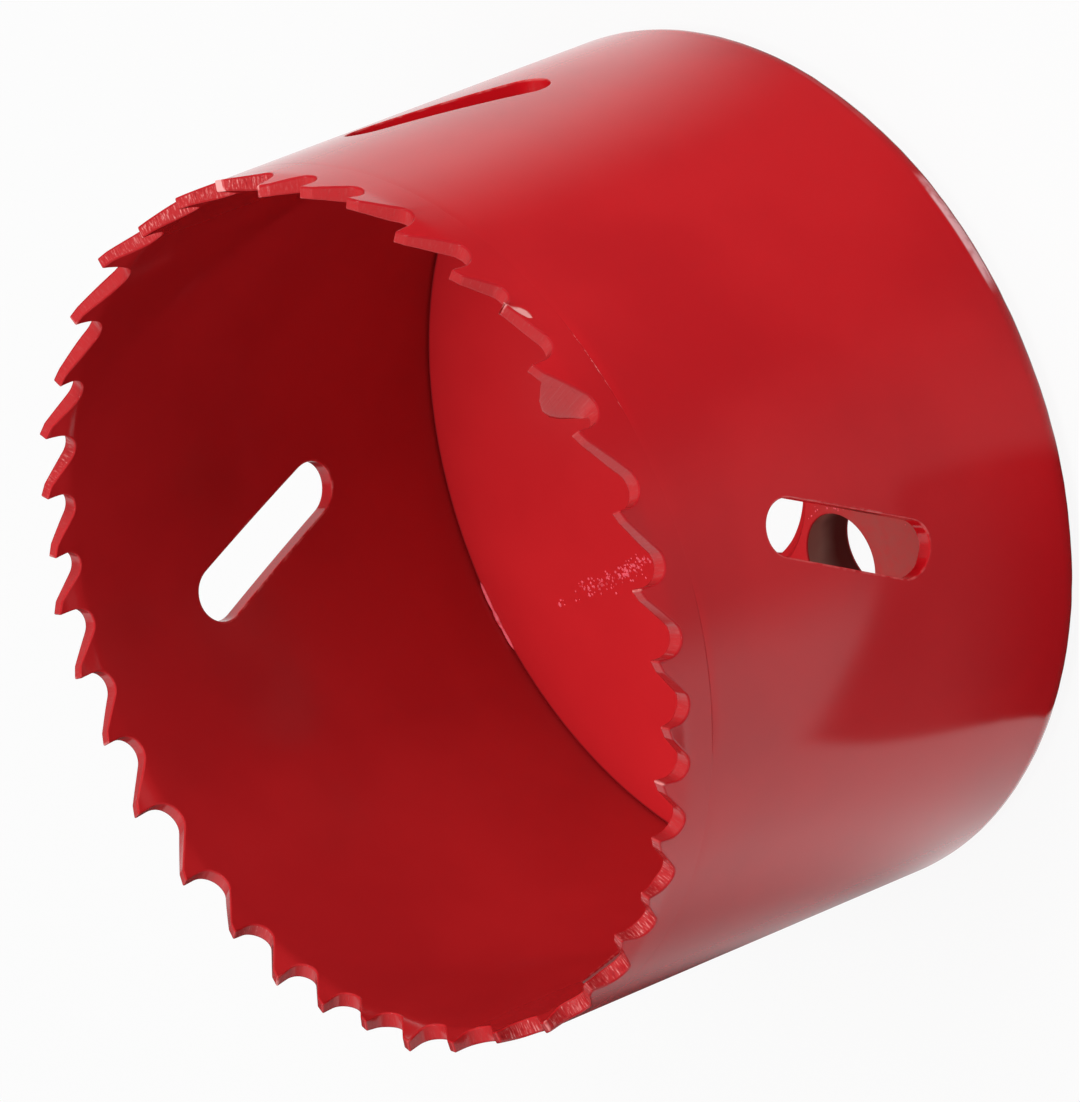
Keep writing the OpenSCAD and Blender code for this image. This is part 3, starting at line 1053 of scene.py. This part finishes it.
def makeFloor():
    st = studio
    side = st["floorHalf"]
    mesh = bpy.data.meshes.new("floor")
    mesh.from_pydata([(-side, -side, 0), (side, -side, 0), (side, side, 0), (-side, side, 0)], [], [(0, 1, 2, 3)])
    floor = bpy.data.objects.new("floor", mesh)
    bpy.context.scene.collection.objects.link(floor)
    f = Finish(bpy.data.materials.new("floorPaper"))
    camera, clear, glossy = f.rays()
    x, y = [f.part(f.object, axis) for axis in range(2)]
    reach = f.node("VectorMath", {"operation": "LENGTH"}, {0: f.object}, 1)
    angle = f.join("ARCTAN2", y, x)
    a, b, c, d = radians(st["dimAngles"])
    shifted = angle + (reach - st["dimReach"]) * math.radians(st["dimShift"])
    dim = f.ease(angle, a, b) * (1 - f.ease(shifted, c, d))
    level = f.ease(angle, *radians(st["dimTurn"]), *st["dimLevel"])
    a, b, c, d = radians(st["shadeAngles"])
    bent = angle - (reach - st["shadeBendReach"]) ** 2 * st["shadeBend"]
    far = reach + (angle - math.radians(st["shadeCorner"])) * st["shadeSlope"]
    shade = f.ease(bent, a, b) * (1 - f.ease(angle, c, d)) * (1 - f.ease(far, *st["shadeReach"]))
    # Angles are counted from the tail's end here, so that the tail has no step in it
    end = math.radians(st["tailEnd"])
    turned = f.join("FLOORED_MODULO", angle - end, 2 * math.pi) + end
    tail = 0.0
    for first, last, loss in st["tailAngles"]:
        tail = tail + (1 - f.ease(turned, math.radians(last), math.radians(first))) * loss
    tail = tail * f.ease(turned, end, end + st["tailFade"])
    seen = 1 - dim * (1 - level)
    seen = seen + shade * (f.ease(reach, *st["shadeNear"], *st["shadeLevel"]) - seen)
    seen = seen * f.ease(reach, *st["underReach"], st["underLevel"], 1.0)
    seen = (1 - glossy) + glossy * seen * (1 - tail)
    paper = f.node("BsdfDiffuse", {}, {"Color": (*st["floorShade"], 1)})
    white = f.node("Emission", {}, {"Color": seen, "Strength": 1.0})
    share = (camera + clear) * st["whiteShare"] + glossy * st["glossShare"]
    mesh.materials.append(f.finish(f.node("MixShader", {}, {0: share, 1: paper, 2: white})))


makeFloor()


def direction(azimuth, elevation):
    # Unit vector towards an azimuth and an elevation
    a, e = math.radians(azimuth), math.radians(elevation)
    return np.array([math.cos(e) * math.cos(a), math.cos(e) * math.sin(a), math.sin(e)])


def facing(place, target, roll=0):
    # Matrix of a lamp or camera at a place that looks at a target, turned by roll about its view
    back = (place - target) / np.linalg.norm(place - target)
    level = np.cross(-back, [0, 0, 1])
    level /= np.linalg.norm(level)
    upright = np.cross(level, -back)
    turn = math.radians(roll)
    right = math.cos(turn) * level + math.sin(turn) * upright
    up = np.cross(back, right)
    matrix = np.eye(4)
    matrix[:3, 0], matrix[:3, 1], matrix[:3, 2], matrix[:3, 3] = right, up, back, place
    return Matrix(matrix.tolist())


for name, (azimuth, elevation, distance, side, power) in studio["lamps"].items():
    lamp = bpy.data.lights.new(name, "AREA")
    lamp.shape = "SQUARE"
    lamp.size = side
    lamp.energy = power
    holder = bpy.data.objects.new(name, lamp)
    holder.visible_glossy = name == "glintBox"
    target = np.array(studio["lampTarget"])
    holder.matrix_world = facing(target + distance * direction(azimuth, elevation), target)
    bpy.context.scene.collection.objects.link(holder)


def makeRoom():
    # An even grey room for light, and a white backdrop near the horizon for cameras, glass and gloss
    f = Finish(bpy.data.worlds.new("room"))
    camera, clear, glossy = f.rays()
    way = f.node("TexCoord", output="Generated")
    x, y, z = [f.part(way, axis) for axis in range(3)]
    turn = f.join("FLOORED_MODULO", f.join("ARCTAN2", y, x), 2 * math.pi)
    rise = f.window(z, *[math.sin(angle) for angle in radians(studio["backdropRise"])])
    band = rise * f.window(turn, *radians(studio["backdropTurn"]))
    base = studio["world"]
    seen = base + (camera + clear) * (1 - base) + glossy * band * (studio["backdropLevel"] - base)
    return f.finish(f.node("Background", {}, {"Color": seen, "Strength": 1.0}), "OutputWorld")


bpy.context.scene.world = makeRoom()
bpy.context.scene.view_settings.view_transform = "Standard"

shot = {
    "lens": 529.70,
    "sensor": 36,
    "target": (-0.000802, 0.000860, 0.021763),
    "distance": 1.13998,
    "azimuth": -75.867,
    "elevation": 39.202,
    "roll": -111.954,
}
lens = bpy.data.cameras.new("photoCamera")
lens.lens = shot["lens"]
lens.sensor_width = shot["sensor"]
cameraObject = bpy.data.objects.new("photoCamera", lens)
target = np.array(shot["target"])
place = target + shot["distance"] * direction(shot["azimuth"], shot["elevation"])
cameraObject.matrix_world = facing(place, target, shot["roll"])
bpy.context.scene.collection.objects.link(cameraObject)
bpy.context.scene.camera = cameraObject
print("studio set")
